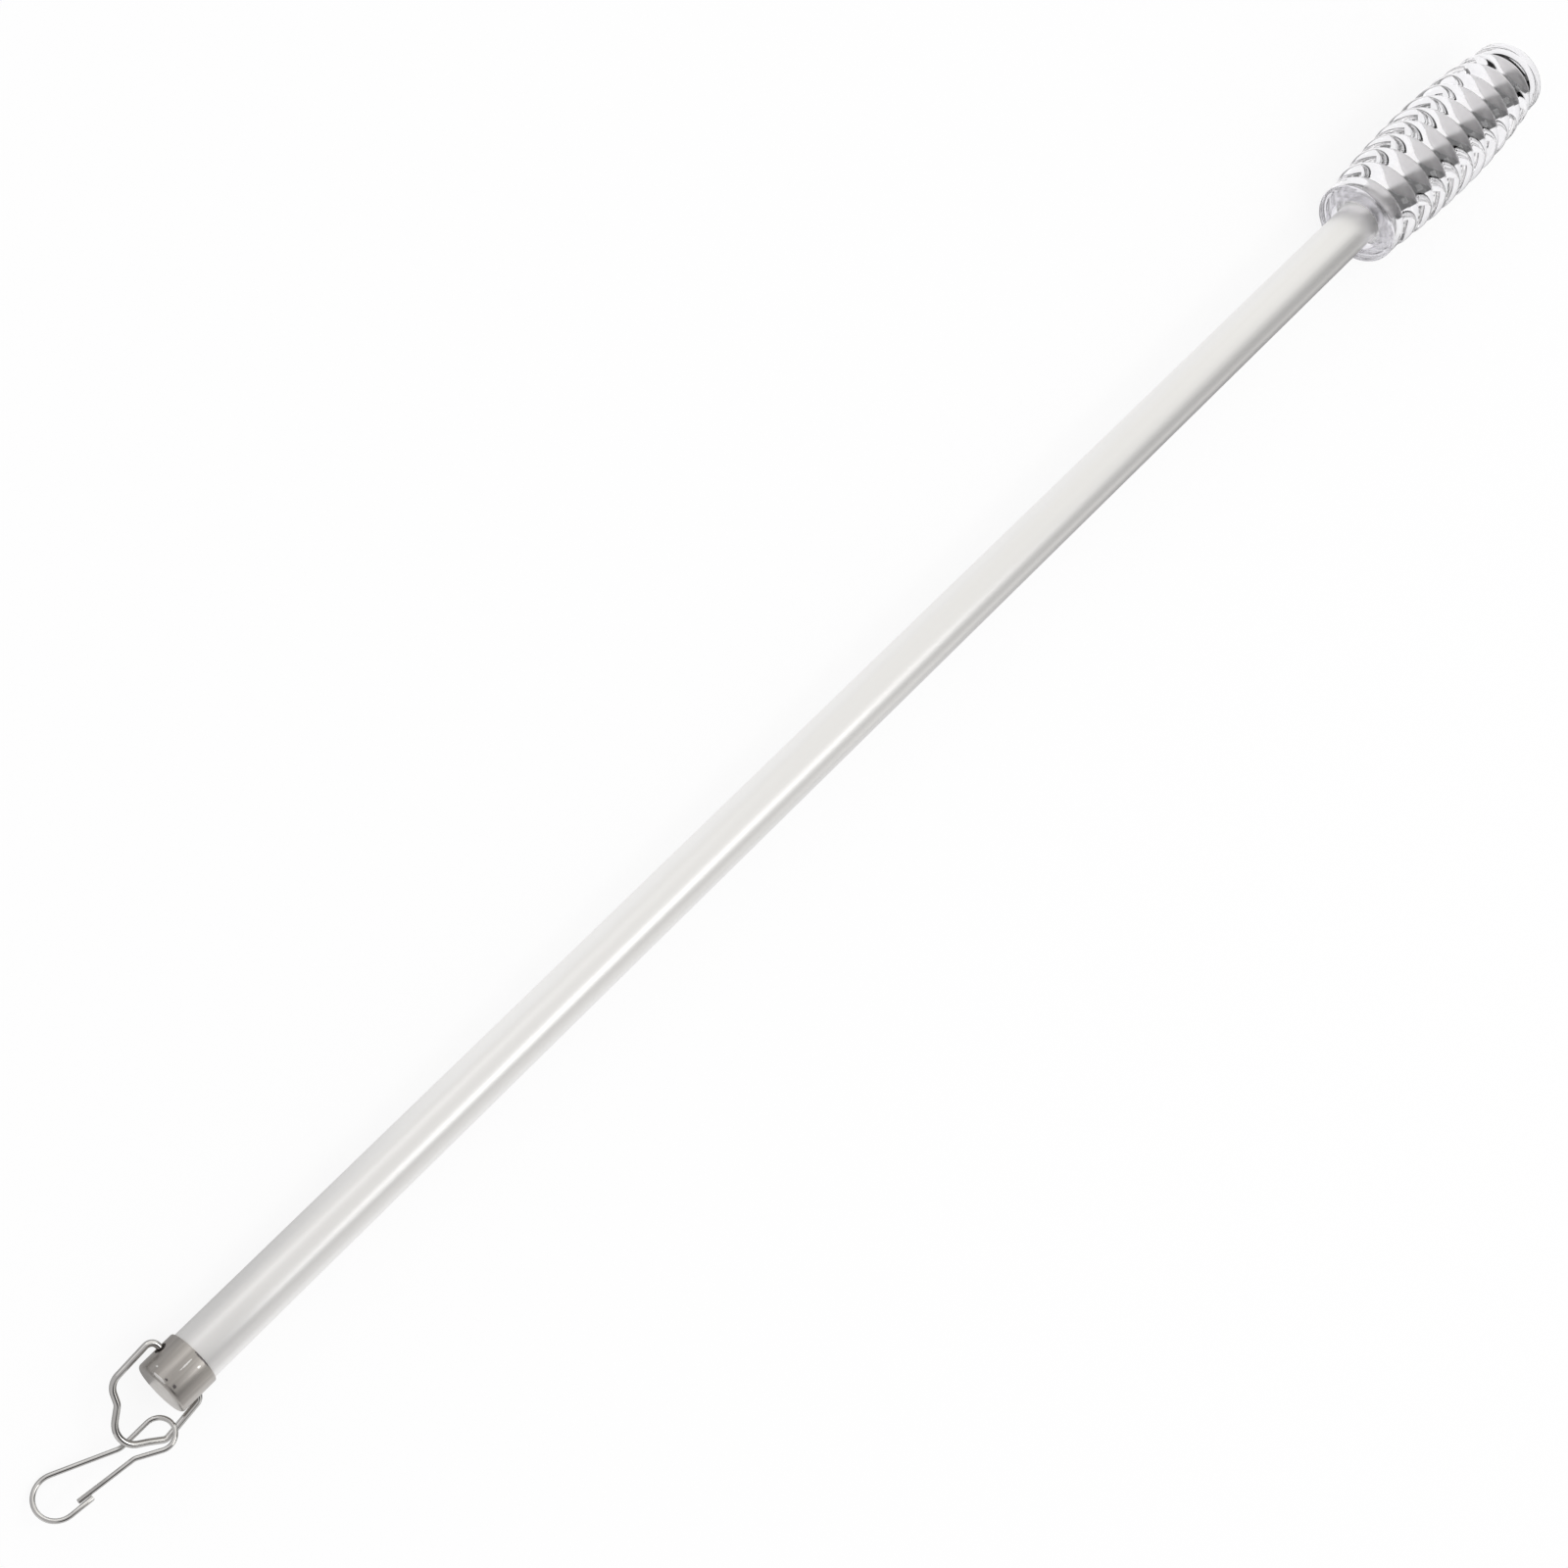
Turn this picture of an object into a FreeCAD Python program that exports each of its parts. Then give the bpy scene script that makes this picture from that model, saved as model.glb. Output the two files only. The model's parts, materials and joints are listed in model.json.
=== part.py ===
# A curtain wand lying on a flat surface: an aluminium tube with a clear ribbed grip on one
# end, and on the other a plated cup that carries a wire bail and a snap hook.
import FreeCAD
import Part
import math
import os

# Driving sizes, in millimetres and degrees
sizes = [
    # tube
    ("rod_diameter", 10.0),
    ("rod_wall", 1.0),
    ("rod_bare_length", 360.0),
    # cup pressed over the tube's end
    ("cap_diameter", 10.9),
    ("cap_length", 7.8),
    ("cap_end_wall", 0.8),
    ("cap_end_round", 0.7),
    ("cap_lip_round", 0.25),
    ("cap_fit", 0.03),
    ("cap_seat_gap", 0.1),
    ("hinge_from_lip", 3.3),
    ("hinge_hole", 2.3),
    # bail, bent from round wire
    ("bail_wire", 1.2),
    ("bail_half_width", 6.95),
    ("bail_hinge_side", 0.7),
    ("bail_leg", 9.0),
    ("bail_left_out", 1.0),
    ("bail_left_side", 0.1),
    ("bail_right_side", 0.28),
    ("bail_waist_out", 2.3),
    ("bail_waist_half", 4.4),
    ("bail_waist_side", 1.0),
    ("bail_tip_out", 7.9),
    ("bail_tip_side", 1.5),
    ("bail_tuck", 1.0),
    ("bail_eye_bend", 1.6),
    ("bail_left_bend", 2.8),
    ("bail_right_bend", 1.5),
    ("bail_waist_bend", 2.0),
    ("bail_tip_bend", 3.8),
    # snap hook, bent from spring wire
    ("hook_wire", 0.9),
    ("hook_eye_radius", 2.85),
    ("hook_arm_neck", 5.85),
    ("hook_gate_neck", 5.5),
    ("hook_neck_width", 2.95),
    ("hook_reach", 18.45),
    ("hook_loop_offset", 4.5),
    ("hook_loop_radius", 3.95),
    ("hook_end_length", 4.4),
    ("hook_end_angle", 6.0),
    ("hook_gate_overlap", 2.3),
    ("hook_gate_gap", 0.15),
    ("hook_arm_bend", 3.0),
    ("hook_gate_bend", 2.0),
    # how the hook lies in the bail
    ("link_gap", 0.4),
    ("link_share", 0.36),
    ("eye_past_shoulder", 0.5),
    ("eye_inside_leg", 1.8),
    ("leg_crossing", 1.55),
    ("floor_gap", 0.4),
    # grip
    ("grip_length", 67.0),
    ("grip_mid_diameter", 23.5),
    ("grip_mouth_end_diameter", 19.3),
    ("grip_far_end_diameter", 17.4),
    ("rib_count", 12),
    ("rib_depth", 1.1),
    ("grip_fit", 0.05),
    ("grip_end_wall", 4.0),
    ("grip_seat_gap", 0.1),
    ("grip_mouth_diameter", 12.8),
    ("grip_mouth_depth", 1.6),
    ("grip_mouth_round", 0.7),
    ("grip_end_round", 1.8),
]

doc = FreeCAD.newDocument("CurtainWand")
sheet = doc.addObject("Spreadsheet::Sheet", "Sizes")
for row, (alias, value) in enumerate(sizes, start=1):
    sheet.set("A%d" % row, alias)
    sheet.set("B%d" % row, str(value))
    sheet.setAlias("B%d" % row, alias)
doc.recompute()


def size(alias):
    return float(sheet.get(alias))


def vector(x, y, z=0.0):
    return FreeCAD.Vector(x, y, z)


# The wand's own frame: the bail's hinge crosses the tube's axis at the origin, X runs along
# the tube towards the grip, Y along the hinge, Z up.
along_tube = FreeCAD.Rotation(vector(0, 1), 90)
along_hinge = FreeCAD.Rotation(vector(1, 0), -90)

cap_end = "(Sizes.hinge_from_lip - Sizes.cap_length)"
tube_start = cap_end + " + Sizes.cap_end_wall + Sizes.cap_seat_gap"
grip_start = "(Sizes.hinge_from_lip + Sizes.rod_bare_length)"
bore_depth = "(Sizes.grip_length - Sizes.grip_end_wall)"
tube_end = grip_start + " + " + bore_depth + " - Sizes.grip_seat_gap"
tube_length = "(%s) - (%s)" % (tube_end, tube_start)


def turned_cylinder(name, radius, length, start):
    item = doc.addObject("Part::Cylinder", name)
    item.Placement = FreeCAD.Placement(vector(0, 0), along_tube)
    item.setExpression("Radius", radius)
    item.setExpression("Height", length)
    item.setExpression("Placement.Base.x", start)
    return item


def hinge_drill(name):
    item = doc.addObject("Part::Cylinder", name)
    item.Placement = FreeCAD.Placement(vector(0, 0), along_hinge)
    item.setExpression("Radius", "Sizes.hinge_hole / 2")
    item.setExpression("Height", "2 * Sizes.cap_diameter")
    item.setExpression("Placement.Base.y", "-Sizes.cap_diameter")
    return item


def cut_away(name, base, tools):
    removed = doc.addObject("Part::MultiFuse", name + "_removed")
    removed.Shapes = tools
    item = doc.addObject("Part::Cut", name)
    item.Base = base
    item.Tool = removed
    return item


def make_tube():
    outside = turned_cylinder("tube_outside", "Sizes.rod_diameter / 2", tube_length, tube_start)
    inside = turned_cylinder(
        "tube_inside", "Sizes.rod_diameter / 2 - Sizes.rod_wall", tube_length, tube_start)
    return cut_away("rod_tube", outside, [inside, hinge_drill("tube_hinge_holes")])


def make_cap():
    blank = turned_cylinder("cap_blank", "Sizes.cap_diameter / 2", "Sizes.cap_length", cap_end)
    doc.recompute()
    rounded = doc.addObject("Part::Fillet", "cap_rounded")
    rounded.Base = blank
    rims = []
    for index, edge in enumerate(blank.Shape.Edges, start=1):
        if edge.isClosed():
            at_lip = edge.CenterOfMass.x > 0
            radius = size("cap_lip_round") if at_lip else size("cap_end_round")
            rims.append((index, radius, radius))
    rounded.Edges = rims
    socket = turned_cylinder(
        "cap_socket", "Sizes.rod_diameter / 2 + Sizes.cap_fit", "Sizes.cap_length",
        cap_end + " + Sizes.cap_end_wall")
    return cut_away("end_cap", rounded, [socket, hinge_drill("cap_hinge_holes")])


# The barrel outline that the grip's ribs reach
def grip_crest(distance):
    from_middle = 2 * distance / size("grip_length") - 1
    middle = size("grip_mid_diameter") / 2
    end = size("grip_mouth_end_diameter" if from_middle < 0 else "grip_far_end_diameter") / 2
    return middle - (middle - end) * from_middle ** 2


def rib_middles():
    pitch = size("grip_length") / size("rib_count")
    return [(index + 0.5) * pitch for index in range(int(size("rib_count")))]


def make_grip():
    start = size("hinge_from_lip") + size("rod_bare_length")
    half_pitch = size("grip_length") / size("rib_count") / 2
    body = doc.addObject("PartDesign::Body", "grip_body")
    sketch = body.newObject("Sketcher::SketchObject", "grip_section")
    plane = [item for item in body.Origin.OriginFeatures if item.Role == "XY_Plane"][0]
    sketch.AttachmentSupport = [(plane, "")]
    sketch.MapMode = "FlatFace"

    def crest_point(middle):
        return vector(start + middle, grip_crest(middle))

    # one side of a rib, from its crest down to the groove before or after it
    def rib_flank(middle, sign):
        crest = crest_point(middle)
        foot = crest_point(middle + sign * half_pitch) - vector(0, size("rib_depth"))
        drop = crest.y - foot.y
        radius = (half_pitch ** 2 + drop ** 2) / (2 * drop)
        turn = math.asin(half_pitch / radius) / 2
        across = vector(sign * radius * math.sin(turn), radius * (math.cos(turn) - 1))
        return Part.Arc(crest, crest + across, foot)

    # a rounded edge of the grip, from the flat face out to the plain band beside it
    def face_edge(face, radius, round_off, sign):
        hub = vector(face + sign * round_off, radius - round_off)
        slant = vector(-sign, 1) * (round_off * math.sqrt(0.5))
        inner = hub - vector(sign * round_off, 0)
        outer = hub + vector(0, round_off)
        return Part.Arc(inner, hub + slant, outer), inner, outer

    middles = rib_middles()
    far_face = start + size("grip_length")
    mouth_edge, mouth_inner, mouth_outer = face_edge(
        start, grip_crest(middles[0]), size("grip_mouth_round"), 1)
    end_edge, end_inner, end_outer = face_edge(
        far_face, grip_crest(middles[-1]), size("grip_end_round"), -1)
    flanks = [rib_flank(middle, -1) for middle in middles[1:]]
    flanks += [rib_flank(middle, 1) for middle in middles[:-1]]
    lines = [
        (vector(start, 0), mouth_inner), (mouth_outer, crest_point(middles[0])),
        (crest_point(middles[-1]), end_outer), (end_inner, vector(far_face, 0)),
        (vector(far_face, 0), vector(start, 0))]
    sketch.addGeometry(flanks + [mouth_edge, end_edge], False)
    sketch.addGeometry([Part.LineSegment(first, last) for first, last in lines], False)
    turned = body.newObject("PartDesign::Revolution", "grip_turned")
    turned.Profile = sketch
    turned.ReferenceAxis = (sketch, ["H_Axis"])
    turned.Angle = 360
    bore = turned_cylinder(
        "grip_bore", "Sizes.rod_diameter / 2 + Sizes.grip_fit", bore_depth, grip_start)
    mouth_cone = doc.addObject("Part::Cone", "grip_mouth")
    mouth_cone.Placement = FreeCAD.Placement(vector(0, 0), along_tube)
    mouth_cone.setExpression("Radius1", "Sizes.grip_mouth_diameter / 2")
    mouth_cone.setExpression("Radius2", "Sizes.rod_diameter / 2 + Sizes.grip_fit")
    mouth_cone.setExpression("Height", "Sizes.grip_mouth_depth")
    mouth_cone.setExpression("Placement.Base.x", grip_start)
    return cut_away("grip", body, [bore, mouth_cone])


# The arc that rounds one corner of a bent wire: its first, middle and last points
def bend_arc(before, corner, after, radius):
    back = (before - corner).normalize()
    onward = (after - corner).normalize()
    half_angle = back.getAngle(onward) / 2
    run = radius / math.tan(half_angle)
    inward = (back + onward).normalize()
    middle = corner + inward * (radius / math.sin(half_angle) - radius)
    return corner + back * run, middle, corner + onward * run


def circle_arc(centre, radius, first, last):
    angles = (first, (first + last) / 2, last)
    points = [centre + vector(math.cos(a), math.sin(a)) * radius for a in angles]
    return Part.Arc(*points)


# Straight runs from corner to corner with an arc of its own radius at each
def bent_path(corners, radii):
    edges = []
    last = corners[0]
    for index, radius in enumerate(radii, start=1):
        first, middle, after = bend_arc(
            corners[index - 1], corners[index], corners[index + 1], radius)
        edges.append(Part.LineSegment(last, first))
        edges.append(Part.Arc(first, middle, after))
        last = after
    edges.append(Part.LineSegment(last, corners[-1]))
    return edges


def sweep_wire(name, diameter, edges):
    path = doc.addObject("Part::Feature", name + "_path")
    path.Shape = Part.Wire([edge.toShape() for edge in edges])
    heading = path.Shape.Edges[0].tangentAt(path.Shape.Edges[0].FirstParameter)
    section = doc.addObject("Part::Circle", name + "_section")
    section.setExpression("Radius", "Sizes.%s / 2" % diameter)
    section.Placement = FreeCAD.Placement(
        path.Shape.Edges[0].Vertexes[0].Point, FreeCAD.Rotation(vector(0, 0, 1), heading))
    wire = doc.addObject("Part::Sweep", name)
    wire.Sections = [section]
    wire.Spine = (path, ["Edge%d" % (i + 1) for i in range(len(path.Shape.Edges))])
    wire.Solid = True
    wire.Frenet = False
    return wire


def bail_corner(out, side):
    return vector(-out, side)


# The bail is bent askew: its left shoulder stands further out than its right one
def bail_hinge(sign):
    return bail_corner(0, sign * size("bail_half_width") + size("bail_hinge_side"))


def bail_shoulder(sign):
    out = size("bail_leg") + (size("bail_left_out") if sign > 0 else 0)
    spread = size("bail_left_side" if sign > 0 else "bail_right_side")
    return bail_corner(out, sign * (size("bail_half_width") + spread))


def bail_tip():
    return bail_corner(size("bail_leg") + size("bail_tip_out"), -size("bail_tip_side"))


def bail_waist(sign):
    side = sign * size("bail_waist_half") - size("bail_waist_side")
    return bail_corner(size("bail_leg") + size("bail_waist_out"), side)


def make_bail():
    tucked = size("rod_diameter") / 2 - size("rod_wall") - size("bail_tuck")
    corners = [
        bail_corner(0, tucked), bail_hinge(1), bail_shoulder(1), bail_waist(1),
        bail_tip(),
        bail_waist(-1), bail_shoulder(-1), bail_hinge(-1), bail_corner(0, -tucked)]
    left_bends = [size("bail_eye_bend"), size("bail_left_bend"), size("bail_waist_bend")]
    right_bends = [size("bail_waist_bend"), size("bail_right_bend"), size("bail_eye_bend")]
    radii = left_bends + [size("bail_tip_bend")] + right_bends
    return sweep_wire("bail", "bail_wire", bent_path(corners, radii))


# The hook lies flat in its own frame: the eye's centre at the origin, the big loop towards -X
def make_hook():
    eye = size("hook_eye_radius")
    loop = size("hook_loop_radius")
    centre = vector(-size("hook_reach"), size("hook_loop_offset"))
    arm_neck = vector(-size("hook_arm_neck"), eye)
    gate_neck = vector(-size("hook_gate_neck"), eye - size("hook_neck_width"))
    # the arm runs from its neck to touch the big loop on its far side
    to_centre = centre - arm_neck
    arm_heading = math.atan2(to_centre.y, to_centre.x) - math.asin(loop / to_centre.Length)
    loop_start = arm_heading - math.pi / 2
    arm_touch = centre + vector(math.cos(loop_start), math.sin(loop_start)) * loop
    # the big loop turns round until its end points back at the eye
    end_heading = -math.radians(size("hook_end_angle"))
    loop_last = end_heading + 1.5 * math.pi
    loop_touch = centre + vector(math.cos(loop_last), math.sin(loop_last)) * loop
    along_end = vector(math.cos(end_heading), math.sin(end_heading))
    hook_end = loop_touch + along_end * size("hook_end_length")
    # the gate's tip lies beside that end, on the inner side
    inward = vector(-along_end.y, along_end.x)
    beside = size("hook_wire") + size("hook_gate_gap")
    gate_tip = hook_end - along_end * size("hook_gate_overlap") + inward * beside
    # the gate leaves its neck on a straight run that touches the eye
    neck_angle = math.atan2(gate_neck.y, gate_neck.x)
    eye_first = neck_angle + math.acos(eye / gate_neck.Length)
    if eye_first < 0:
        eye_first += 2 * math.pi
    eye_touch = vector(math.cos(eye_first), math.sin(eye_first)) * eye
    eye_top = vector(0, eye)

    edges = bent_path([gate_tip, gate_neck, eye_touch], [size("hook_gate_bend")])
    edges.append(circle_arc(vector(0, 0), eye, eye_first, 2.5 * math.pi))
    edges += bent_path([eye_top, arm_neck, arm_touch], [size("hook_arm_bend")])
    edges.append(circle_arc(centre, loop, loop_start, loop_last))
    edges.append(Part.LineSegment(loop_touch, hook_end))
    return sweep_wire("snap_hook", "hook_wire", edges)


# The wand rests on the rounded end of the cup and on one rib of the grip
def rest_place():
    round_off = size("cap_end_round")
    cap_x = size("hinge_from_lip") - size("cap_length") + round_off
    cap_radius = size("cap_diameter") / 2 - round_off
    grip_x = size("hinge_from_lip") + size("rod_bare_length")
    slopes = []
    for middle in rib_middles():
        apart = grip_x + middle - cap_x
        rise = grip_crest(middle) - cap_radius
        slopes.append(math.atan2(rise, apart) - math.asin(round_off / math.hypot(apart, rise)))
    slope = max(slopes)
    height = cap_radius * math.cos(slope) + round_off - cap_x * math.sin(slope)
    return slope, height


# The hook's eye passes under the bail near its tip and over the bail's right leg, and its
# big loop comes down to the surface
def hook_place(slope, height):
    apart = (size("bail_wire") + size("hook_wire")) / 2 + size("link_gap")
    shoulder = bail_shoulder(-1)
    eye_x = shoulder.x - size("eye_past_shoulder")
    eye_y = shoulder.y + size("eye_inside_leg")
    under = bail_tip() + (bail_waist(-1) - bail_tip()) * size("link_share")
    over = shoulder + (bail_hinge(-1) - shoulder) * (size("leg_crossing") / size("bail_leg"))
    under.z = -apart
    over.z = apart
    foot_x = eye_x - size("hook_reach")
    foot_side = size("hook_loop_offset") + size("hook_loop_radius")
    foot_height = size("hook_wire") / 2 + size("floor_gap")
    foot_z = (foot_height - height - foot_x * math.sin(slope)) / math.cos(slope)
    lean = 1.0
    for pass_number in range(10):
        foot = vector(foot_x, eye_y + foot_side * lean, foot_z)
        normal = (over - under).cross(foot - under).normalize()
        if normal.z < 0:
            normal = -normal
        forward = (vector(1, 0) - normal * normal.x).normalize()
        across = normal.cross(forward)
        lean = across.y
    drop = normal.x * (eye_x - under.x) + normal.y * (eye_y - under.y)
    eye = vector(eye_x, eye_y, under.z - drop / normal.z)
    return FreeCAD.Placement(eye, FreeCAD.Rotation(forward, across, normal, "ZXY"))


tube = make_tube()
cap = make_cap()
grip = make_grip()
bail = make_bail()
hook = make_hook()
doc.recompute()

slope, height = rest_place()
lie = FreeCAD.Rotation(vector(0, 1), -math.degrees(slope))
wand_place = FreeCAD.Placement(vector(0, 0, height), lie)
places = [
    (tube, FreeCAD.Placement()),
    (cap, FreeCAD.Placement()),
    (grip, FreeCAD.Placement()),
    (bail, FreeCAD.Placement()),
    (hook, hook_place(slope, height)),
]
for item, place in places:
    item.Placement = wand_place.multiply(place)
doc.recompute()

# The origin lies on the surface below the middle of the whole wand's length
boxes = [item.Shape.optimalBoundingBox() for item, place in places]
middle = (min(box.XMin for box in boxes) + max(box.XMax for box in boxes)) / 2
for item, place in places:
    item.Placement.Base = item.Placement.Base - vector(middle, 0)
doc.recompute()

for item in doc.Objects:
    for trouble in ("Invalid", "Error"):
        if trouble in item.State:
            raise RuntimeError("%s did not build" % item.Name)
os.makedirs("parts", exist_ok=True)
for item, place in places:
    if item.Shape.isNull() or not item.Shape.isValid():
        raise RuntimeError("%s has no sound shape" % item.Label)
    item.Shape.exportStep("parts/%s.step" % item.Label)
    print(item.Label, len(item.Shape.Solids), round(item.Shape.Volume, 3))
hinge = wand_place.Base - vector(middle, 0)
print("slope", round(math.degrees(slope), 4), "hinge", [round(v, 4) for v in hinge])
print("hook eye", hook.Placement.Base, "hook axes", hook.Placement.Rotation.toMatrix())
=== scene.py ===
import json
import math
import bpy
import bmesh
from mathutils import Matrix, Vector


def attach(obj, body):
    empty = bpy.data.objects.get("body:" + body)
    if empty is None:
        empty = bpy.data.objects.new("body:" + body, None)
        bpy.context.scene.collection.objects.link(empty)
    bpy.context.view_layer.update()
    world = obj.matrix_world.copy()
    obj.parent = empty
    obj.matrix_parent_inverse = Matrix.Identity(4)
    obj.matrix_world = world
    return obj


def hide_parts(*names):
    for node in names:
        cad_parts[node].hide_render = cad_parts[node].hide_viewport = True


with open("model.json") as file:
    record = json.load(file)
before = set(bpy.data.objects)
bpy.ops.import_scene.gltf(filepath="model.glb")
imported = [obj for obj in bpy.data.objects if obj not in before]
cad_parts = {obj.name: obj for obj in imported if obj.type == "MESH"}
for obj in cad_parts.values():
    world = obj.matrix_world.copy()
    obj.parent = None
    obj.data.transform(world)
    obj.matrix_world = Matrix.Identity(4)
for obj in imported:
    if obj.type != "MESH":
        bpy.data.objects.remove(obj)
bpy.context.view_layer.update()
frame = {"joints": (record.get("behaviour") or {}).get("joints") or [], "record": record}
print("stage: frame loaded")

# the wand's own frame, in millimetres: hinge at the origin, x along the tube to the grip, y along the hinge
wandRest = {"slopeDeg": 0.9052, "millimetre": 0.001}
bailHinge = [joint for joint in frame["joints"] if joint["name"] == "bail_swing"][0]
inMillimetres = Matrix.Scale(wandRest["millimetre"], 4)
wandTurn = Matrix.Rotation(-math.radians(wandRest["slopeDeg"]), 4, "Y")
wandFrame = Matrix.Translation(bailHinge["pos_m"]) @ wandTurn @ inMillimetres


# small helpers for node trees

def addNode(tree, kind, settings=None, values=None):
    node = tree.nodes.new(kind)
    for name, value in (settings or {}).items():
        setattr(node, name, value)
    for key, value in (values or {}).items():
        if isinstance(value, bpy.types.NodeSocket):
            tree.links.new(value, node.inputs[key])
        else:
            node.inputs[key].default_value = value
    return node


def calc(tree, operation, first, second=None, third=None):
    values = {0: first}
    if second is not None:
        values[1] = second
    if third is not None:
        values[2] = third
    return addNode(tree, "ShaderNodeMath", {"operation": operation}, values).outputs[0]


def smoothRamp(tree, value, start, end, low=0.0):
    return addNode(tree, "ShaderNodeMapRange", {"interpolation_type": "SMOOTHSTEP"}, {
        "Value": value, "From Min": start, "From Max": end, "To Min": low, "To Max": 1.0}).outputs[0]


def newGeometryTree(name, inputs):
    tree = bpy.data.node_groups.new(name, "GeometryNodeTree")
    tree.interface.new_socket("Geometry", in_out="INPUT", socket_type="NodeSocketGeometry")
    for label, kind in inputs:
        tree.interface.new_socket(label, in_out="INPUT", socket_type="NodeSocket" + kind)
    tree.interface.new_socket("Geometry", in_out="OUTPUT", socket_type="NodeSocketGeometry")
    start = tree.nodes.new("NodeGroupInput")
    return tree, start.outputs


def endGeometryTree(tree, geometry, material, sharpDeg):
    angle = addNode(tree, "GeometryNodeInputMeshEdgeAngle").outputs["Unsigned Angle"]
    soft = calc(tree, "LESS_THAN", angle, math.radians(sharpDeg))
    shaded = addNode(tree, "GeometryNodeSetShadeSmooth", {"domain": "EDGE"},
                     {"Geometry": geometry, "Shade Smooth": soft}).outputs[0]
    real = addNode(tree, "GeometryNodeRealizeInstances", None, {"Geometry": shaded}).outputs[0]
    coated = addNode(tree, "GeometryNodeSetMaterial", None, {"Geometry": real})
    coated.inputs["Material"].default_value = material
    tree.links.new(coated.outputs[0], tree.nodes.new("NodeGroupOutput").inputs[0])


def linkObject(name, mesh):
    obj = bpy.data.objects.new(name, mesh)
    bpy.context.scene.collection.objects.link(obj)
    return obj


def freeze(obj):
    graph = bpy.context.evaluated_depsgraph_get()
    mesh = bpy.data.meshes.new_from_object(obj.evaluated_get(graph))
    obj.modifiers.clear()
    obj.data = mesh
    return obj


def runTree(name, mesh, tree, values):
    obj = linkObject(name, mesh)
    modifier = obj.modifiers.new("make", "NODES")
    modifier.node_group = tree
    for item in tree.interface.items_tree:
        if item.in_out == "INPUT" and item.name in values:
            modifier[item.identifier] = values[item.name]
    return freeze(obj)


def finishPiece(obj, place, body, node):
    obj.data.transform(place)
    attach(obj, body)
    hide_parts(node)
    print("stage:", obj.name, len(obj.data.polygons), "faces")


# materials

def newShaderGroup(name, inputs, outputs):
    tree = bpy.data.node_groups.new(name, "ShaderNodeTree")
    for label, kind in inputs:
        tree.interface.new_socket(label, in_out="INPUT", socket_type="NodeSocket" + kind)
    for label, kind in outputs:
        tree.interface.new_socket(label, in_out="OUTPUT", socket_type="NodeSocket" + kind)
    return tree, tree.nodes.new("NodeGroupInput").outputs, tree.nodes.new("NodeGroupOutput").inputs


# fine parallel lines from drawing or brushing, stretched along the first axis of the vector
def makeGrainLines():
    tree, given, result = newShaderGroup(
        "grainLines",
        [("Vector", "Vector"), ("Lines", "Float"), ("Stretch", "Float")],
        [("Mask", "Float"), ("Broad", "Float")])
    apart = addNode(tree, "ShaderNodeSeparateXYZ", None, {0: given["Vector"]}).outputs
    along = calc(tree, "DIVIDE", apart[0], given["Stretch"])
    packed = addNode(tree, "ShaderNodeCombineXYZ", None, {0: along, 1: apart[1], 2: apart[2]}).outputs[0]
    fine = addNode(tree, "ShaderNodeTexNoise", None,
                   {"Vector": packed, "Scale": given["Lines"], "Detail": 3.0, "Roughness": 0.6})
    coarseScale = calc(tree, "MULTIPLY", given["Lines"], 0.22)
    broad = addNode(tree, "ShaderNodeTexNoise", None,
                    {"Vector": packed, "Scale": coarseScale, "Detail": 2.0})
    tree.links.new(fine.outputs["Fac"], result["Mask"])
    tree.links.new(broad.outputs["Fac"], result["Broad"])
    return tree


# scattered small pits and dull specks
def makeSpeckles():
    tree, given, result = newShaderGroup(
        "speckles",
        [("Vector", "Vector"), ("Scale", "Float"), ("Amount", "Float")],
        [("Mask", "Float")])
    cells = addNode(tree, "ShaderNodeTexNoise", None,
                    {"Vector": given["Vector"], "Scale": given["Scale"], "Detail": 4.0, "Roughness": 0.7})
    edge = calc(tree, "SUBTRACT", 0.8, calc(tree, "MULTIPLY", given["Amount"], 0.3))
    above = calc(tree, "SUBTRACT", cells.outputs["Fac"], edge)
    mask = addNode(tree, "ShaderNodeClamp", None, {0: calc(tree, "MULTIPLY", above, 16.0)}).outputs[0]
    tree.links.new(mask, result["Mask"])
    return tree


# one scratch or pit with a ragged edge
def makeWearMark():
    tree, given, result = newShaderGroup(
        "wearMark",
        [("Vector", "Vector"), ("Centre", "Vector"), ("Half", "Vector")],
        [("Mask", "Float")])
    away = addNode(tree, "ShaderNodeVectorMath", {"operation": "SUBTRACT"},
                   {0: given["Vector"], 1: given["Centre"]})
    even = addNode(tree, "ShaderNodeVectorMath", {"operation": "DIVIDE"},
                   {0: away.outputs[0], 1: given["Half"]})
    far = addNode(tree, "ShaderNodeVectorMath", {"operation": "LENGTH"}, {0: even.outputs[0]}).outputs["Value"]
    rag = addNode(tree, "ShaderNodeTexNoise", None, {"Vector": given["Vector"], "Scale": 5.0, "Detail": 3.0})
    ragged = calc(tree, "ADD", far, calc(tree, "MULTIPLY_ADD", rag.outputs["Fac"], 1.6, -0.8))
    tree.links.new(smoothRamp(tree, ragged, 1.1, 0.7), result["Mask"])
    return tree


grainLines = makeGrainLines()
speckles = makeSpeckles()
wearMark = makeWearMark()


def newMaterial(name, settings):
    material = bpy.data.materials.new(name)
    material.use_nodes = True
    tree = material.node_tree
    shader = tree.nodes["Principled BSDF"]
    for label, value in settings.items():
        shader.inputs[label].default_value = value
    return material, tree, shader


# object coordinates carried into the wand's own frame, in millimetres
def wandCoordinates(tree):
    spot = addNode(tree, "ShaderNodeTexCoord").outputs["Object"]
    back = wandFrame.inverted()
    return addNode(tree, "ShaderNodeMapping", None, {
        "Vector": spot, "Location": back.to_translation(), "Rotation": back.to_euler(),
        "Scale": back.to_scale()}).outputs[0]


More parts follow.
